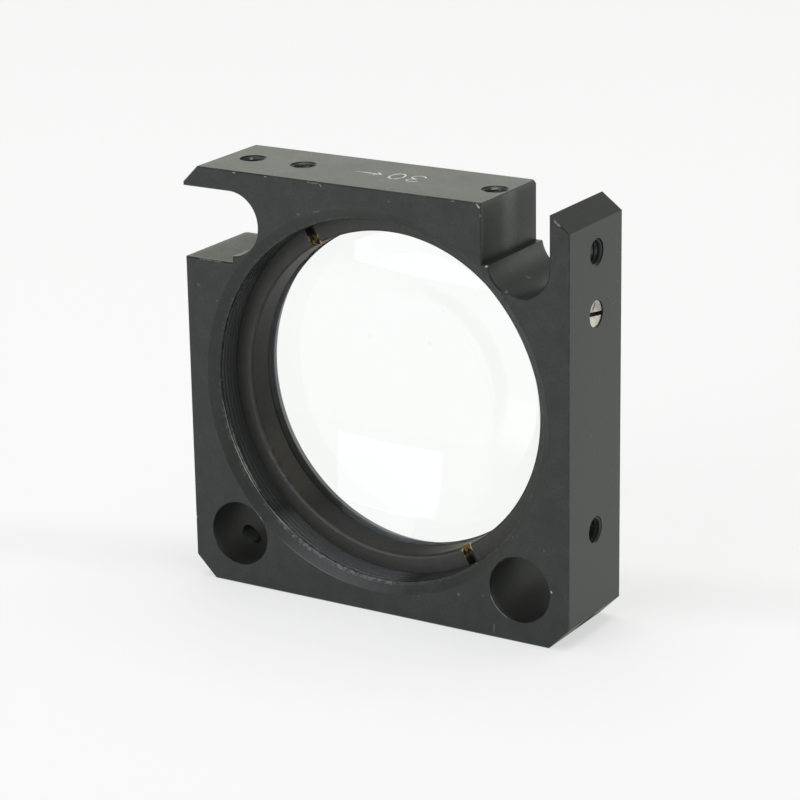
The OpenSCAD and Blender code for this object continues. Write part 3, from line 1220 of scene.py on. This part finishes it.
def black_brass(s):
    """Blackened brass, turned, with bare brass showing in the spanner slots and a painted reflection, a brown
    patch, on its bore.
    """
    material, bench, shader = new_material("black brass", IOR=1.5)
    grain, mottle, _ = grain_of(bench, 9000.0, 1500.0, 1800.0, 0.04)
    where = bench.place()
    turned = bench.node(
        "ShaderNodeMapping", {"Vector": where, "Rotation": (0.0, s.slot_angle, 0.0)}
    )
    along, depth, across = bench.split(turned.outputs[0])
    side = bench.math("DIVIDE", bench.math("ABSOLUTE", across), s.slot_width / 2)
    in_slot = bench.fade(side, 1.25, 0.95)
    front = RING_BOX[0].y
    deep = bench.fade(depth, front + s.slot_depth * 1.1, front + s.slot_depth * 0.9)
    far, close = s.bore_radius + 1.2 * MM, s.bore_radius + 0.3 * MM
    near_bore = bench.fade(bench.math("ABSOLUTE", along), far, close)
    rub = bench.fade(bench.noise(where, 2400.0, 2.0), 0.46, 0.54)
    bare = bench.times(bench.times(in_slot, deep), rub)
    bare = bench.times(bare, near_bore)
    dark, light = scaled(s.black, 0.85), scaled(s.black, 1.2)
    skin = bench.blend(bench.fade(mottle, 0.3, 0.7), dark, light)
    # Painted reflection: a brown patch on the ring's bore
    skin = bench.blend(band_marks(bench, RING_PAINTED_REFLECTION), skin, s.painted_reflection_tone)
    bench.put(shader.inputs["Base Color"], bench.blend(bare, skin, s.brass))
    bench.put(shader.inputs["Metallic"], bare)
    bench.put(shader.inputs["Roughness"], roughness(bench, grain, 0.2, 0.36))
    bump(bench, shader, grain, 0.01 * MM, 0.7)
    return material


# Painted shade: dark streaks on the slotted end that stand in for the shading of its domed face, in the same
# form as the plate's scratches
SCREW_PAINTED_SHADE = [
    ((19.93, -0.2, 10.9), (19.93, -0.5, 10.55), 0.30, 0.95),
    ((19.93, 0.15, 10.8), (19.93, 0.6, 10.3), 0.75, 0.6),
    ((19.93, -0.8, 10.35), (19.93, -0.4, 10.3), 0.35, 0.4),
    ((19.93, 0.5, 9.6), (19.93, 0.2, 9.3), 0.6, 0.22),
]


def bright_steel(s, centre_height):
    """Bright turned steel with fine tool rings, a dull film in places and painted shade on its slotted end.
    """
    material, bench, shader = new_material("bright steel", IOR=2.5)
    grain, mottle, _ = grain_of(bench, 9000.0, 2200.0, 4000.0, 0.12)
    ring_spacing = 0.09 * MM
    _, y, z = bench.split(bench.place())
    up = bench.minus(z, centre_height)
    around = bench.math("SQRT", bench.plus(bench.times(y, y), bench.times(up, up)))
    rings = bench.math("SINE", bench.times(around, 2 * math.pi / ring_spacing))
    film = bench.fade(mottle, 0.50, 0.70)
    metal = bench.blend(film, s.steel, scaled(s.steel, 0.6))
    # Painted shade: dark streaks on the slotted end
    metal = bench.blend(ragged_marks(bench, SCREW_PAINTED_SHADE, 0.5), metal, scaled(s.steel, 0.15))
    bench.put(shader.inputs["Base Color"], metal)
    bench.put(shader.inputs["Metallic"], bench.minus(1.0, bench.times(film, 0.25)))
    bench.put(shader.inputs["Roughness"], roughness(bench, grain, 0.2, 0.16))
    height = bench.plus(bench.times(rings, 0.5), grain)
    bump(bench, shader, height, 0.002 * MM)
    return material


def floor_finish(s):
    """Pale matt floor; to the camera, and in metal and glass, it shows softly lit through."""
    material, bench, shader = new_material(
        "pale floor", IOR=1.4, Roughness=0.8, Specular_IOR_Level=0.1
    )
    where = bench.place()
    cloud = bench.noise(where, 6.0, 2.0)
    # A faint darker band along a line across the floor
    across = bench.vector("DOT_PRODUCT", where, (-s.band_lean, 1.0, 0.0))
    off = bench.math("ABSOLUTE", bench.minus(across, s.band_place))
    darker_band = bench.fade(off, 9.0 * MM, 1.0 * MM)
    skin = bench.blend(cloud, s.floor, scaled(s.floor, 0.985))
    bench.put(shader.inputs["Base Color"], skin)
    through = bench.blend(darker_band, s.glow, scaled(s.glow, 0.93))
    path = bench.node("ShaderNodeLightPath")
    mirrored, passed = path.outputs["Is Glossy Ray"], path.outputs["Is Transmission Ray"]
    tone = bench.times(mirrored, bench.minus(1.0, passed))
    glow = bench.node("ShaderNodeEmission", {"Color": bench.blend(tone, through, s.mirrored_glow)})
    share = bench.times(path.outputs["Is Camera Ray"], s.glow_share)
    share = bench.greater(share, bench.times(mirrored, s.mirrored_share))
    share = bench.greater(share, passed)
    both = bench.node("ShaderNodeMixShader", {"Fac": share})
    bench.put(both.inputs[1], shader.outputs[0])
    bench.put(both.inputs[2], glow.outputs[0])
    bench.put(material.node_tree.nodes["Material Output"].inputs["Surface"], both.outputs[0])
    return material


# ---------------------------------------------------------------- operators


class LENSMOUNT_OT_plate(bpy.types.Operator):
    """Bored, slotted and tapped plate"""

    bl_idname = "lens_mount.plate"
    bl_label = "Mount plate"

    def execute(self, context):
        s = settings(context, "plate")
        skin, strokes = black_anodise(s), engraved_strokes(s)
        mesh = carve(plate_blank(s), plate_cutters(s, skin))
        piece = finish_piece("plate", mesh, "mount_plate", [skin, strokes])
        engraved_faces(piece.data)
        return {"FINISHED"}


class LENSMOUNT_OT_lens(bpy.types.Operator):
    """Biconvex lens with a narrow ground bevel on both rims"""

    bl_idname = "lens_mount.lens"
    bl_label = "Lens"

    def execute(self, context):
        s = settings(context, "lens")
        curve, bevel = s.face_radius / MM, s.rim_bevel / MM
        rim = LENS_BOX[1].x / MM
        front, back = depths(LENS_BOX)

        def sag(r):
            return curve - math.sqrt(curve * curve - r * r)

        radii = [(rim - bevel) * i / s.rings for i in range(s.rings + 1)]
        profile = [(r, front + sag(r)) for r in radii]
        profile += [(rim, front + sag(rim) + bevel), (rim, back - sag(rim) - bevel)]
        profile += [(r, back - sag(r)) for r in reversed(radii)]
        mesh = along_axis(turned_mesh("lens", profile, 192, closed=False))
        finish_piece("lens_glass", mesh, "lens", [clear_glass(s)])
        return {"FINISHED"}


class LENSMOUNT_OT_ring(bpy.types.Operator):
    """Threaded retaining ring with two spanner slots"""

    bl_idname = "lens_mount.ring"
    bl_label = "Retaining ring"

    def execute(self, context):
        s = settings(context, "ring")
        front, back = depths(RING_BOX)
        bore, rim = s.bore_radius / MM, RING_BOX[1].x / MM
        round_off, lead = s.bore_round / MM, s.thread_bevel / MM
        width, depth = s.slot_width / MM / 2, s.slot_depth / MM
        profile = [
            *arc((bore + round_off, front + round_off), round_off, 180, 270, 6),
            (rim - lead, front),
            (rim, front + lead),
            (rim, back),
            (bore, back),
        ]
        mesh = along_axis(turned_mesh("ring", profile, 256))
        past_rim, before_front = 1.0, 1.0
        tool = slab_mesh("spanner slot", rim + past_rim, width, -before_front, depth)
        lay = Matrix.Translation((0.0, RING_BOX[0].y / MM, 0.0))
        lay @= Matrix.Rotation(-s.slot_angle, 4, "Y")
        lay @= Matrix.Rotation(math.radians(-90), 4, "X")
        tool.transform(lay)
        mesh = carve(mesh, [tool])
        finish_piece("ring", mesh, "retaining_ring", [black_brass(s)])
        return {"FINISHED"}


class LENSMOUNT_OT_screw(bpy.types.Operator):
    """Slotted set screw that locks the ring"""

    bl_idname = "lens_mount.screw"
    bl_label = "Set screw"

    def execute(self, context):
        s = settings(context, "screw")
        lock_offset = settings(context, "plate").lock_offset
        r, point, dome = s.radius / MM, s.point_radius / MM, s.dome / MM
        tip, end, step = SCREW_BOX[0].x / MM, SCREW_BOX[1].x / MM, s.step_place / MM
        rim, lead, past, crown_steps = s.rim_round / MM, 0.3, 0.5, 8
        flat = r - rim
        radii = [flat * (1 - i / crown_steps) for i in range(1, crown_steps)]
        profile = [(0.0, tip), (point, tip), (point, step), (r - lead, step), (r, step + lead)]
        profile += arc((flat, end - dome - rim), rim, 0, 90, 6)
        profile += [(x, end - dome * (x / flat) ** 2) for x in radii]
        mesh = turned_mesh("screw", [*profile, (0.0, end)], 96, closed=False)
        half_slot, slot_floor = s.slot_width / MM / 2, end - s.slot_depth / MM
        tool = slab_mesh("screw slot", half_slot, r + past, slot_floor, end + past)
        tool.transform(Matrix.Rotation(-s.slot_angle, 4, "Z"))
        mesh = on_side(carve(mesh, [tool]), 1, -lock_offset / MM)
        finish_piece("screw", mesh, "set_screw", [bright_steel(s, lock_offset)])
        return {"FINISHED"}


# Name, place and size in metres, radiance and tone; every lamp faces the plate's middle
LAMPS = [
    ("window", (-0.33, -0.90, 0.285), (0.77, 0.48), 3.0, (0.92, 0.96, 1.0)),
    ("skylight", (-0.22, -0.73, 0.65), (0.55, 0.40), 1.7, (0.92, 0.96, 1.0)),
    ("overhead", (0.0, 0.10, 1.0), (0.9, 0.9), 2.6, (1.0, 1.0, 1.0)),
]


def studio_lamp(name, place, size, radiance, tone):
    """A square soft lamp whose face has the given radiance."""
    data = bpy.data.lights.new(name, "AREA")
    data.shape = "RECTANGLE"
    data.size, data.size_y = size
    data.energy = radiance * math.pi * size[0] * size[1]
    data.color = tone
    lamp = bpy.data.objects.new(name, data)
    lamp.location = place
    lamp.rotation_mode = "QUATERNION"
    lamp.rotation_quaternion = (Vector() - Vector(place)).to_track_quat("-Z", "Y")
    lamp.visible_camera = False
    bpy.context.scene.collection.objects.link(lamp)


class LENSMOUNT_OT_stage(bpy.types.Operator):
    """Pale floor, soft studio light and camera"""

    bl_idname = "lens_mount.stage"
    bl_label = "Stage"

    def execute(self, context):
        s = settings(context, "stage")
        self.lay_floor(s)
        self.light_room(context, s)
        self.place_camera(context, s)
        context.scene.view_settings.view_transform = "Standard"
        return {"FINISHED"}

    def lay_floor(self, s):
        """A round floor in rings, with its upper side just under the plate."""
        ground = PLATE_BOX[0].z - 0.02 * MM
        radii, steps = (2.5, 1.0, 0.4, 0.1), 64
        circles = [arc((0.0, 0.0), radius, 0, 360, steps)[:-1] for radius in radii]
        points = [(x, y, ground) for circle in circles for x, y in circle]
        inner, middle = len(points) - steps, len(points)
        points.append((0.0, 0.0, ground))
        faces = strips(len(radii), steps)
        faces += [(middle, inner + i, inner + (i + 1) % steps) for i in range(steps)]
        floor = link("floor", mesh_from("floor", points, faces))
        floor.data.materials.append(floor_finish(s))

    def light_room(self, context, s):
        """Dim room with a bright low backdrop, and the lamps."""
        world = bpy.data.worlds.new("studio")
        context.scene.world = world
        world.use_nodes = True
        bench = Bench(world.node_tree)
        direction = bench.node("ShaderNodeTexCoord").outputs["Generated"]
        _, y, z = bench.split(direction)
        # The backdrop fades out between these heights, and is dimmer in front of the mount
        low = bench.fade(z, 0.55, 0.20)
        behind = bench.fade(y, -0.4, 0.4, 0.35, 1.0)
        light = bench.blend(bench.times(low, behind), s.room, s.backdrop)
        bench.put(world.node_tree.nodes["Background"].inputs["Color"], light)
        for lamp in LAMPS:
            studio_lamp(*lamp)

    def place_camera(self, context, s):
        data = bpy.data.cameras.new("camera")
        data.sensor_width = 36.0
        data.lens = s.focal_length
        data.clip_start, data.clip_end = 0.01, 20.0
        camera = bpy.data.objects.new("camera", data)
        back = Vector((
            math.sin(s.azimuth) * math.cos(s.elevation),
            -math.cos(s.azimuth) * math.cos(s.elevation),
            math.sin(s.elevation),
        ))
        right = Vector((0, 0, 1)).cross(back).normalized()
        up = back.cross(right)
        tilted = right * math.cos(s.roll) + up * math.sin(s.roll)
        upright = up * math.cos(s.roll) - right * math.sin(s.roll)
        turn = Matrix((tilted, upright, back)).transposed().to_4x4()
        place = Matrix.Translation(Vector(s.target) + back * s.distance)
        camera.matrix_world = place @ turn
        context.scene.collection.objects.link(camera)
        context.scene.camera = camera


PIECE_OPERATORS = (
    LENSMOUNT_OT_plate,
    LENSMOUNT_OT_lens,
    LENSMOUNT_OT_ring,
    LENSMOUNT_OT_screw,
    LENSMOUNT_OT_stage,
)


class LENSMOUNT_PT_panel(bpy.types.Panel):
    """Lists what the add-on makes"""

    bl_label = "Lens Mount"
    bl_idname = "LENSMOUNT_PT_panel"
    bl_space_type = "VIEW_3D"
    bl_region_type = "UI"
    bl_category = "Lens Mount"

    def draw(self, context):
        for operator in PIECE_OPERATORS:
            self.layout.operator(operator.bl_idname)


def register():
    for name, group in GROUPS.items():
        bpy.utils.register_class(group)
        setattr(bpy.types.Scene, name, PointerProperty(type=group))
    for made in (*PIECE_OPERATORS, LENSMOUNT_PT_panel):
        bpy.utils.register_class(made)


def unregister():
    for made in (LENSMOUNT_PT_panel, *reversed(PIECE_OPERATORS)):
        bpy.utils.unregister_class(made)
    for name, group in reversed(GROUPS.items()):
        delattr(bpy.types.Scene, name)
        bpy.utils.unregister_class(group)


def main():
    register()
    bpy.ops.lens_mount.plate()
    bpy.ops.lens_mount.lens()
    bpy.ops.lens_mount.ring()
    bpy.ops.lens_mount.screw()
    bpy.ops.lens_mount.stage()
    bpy.context.view_layer.update()


if __name__ == "__main__":
    main()
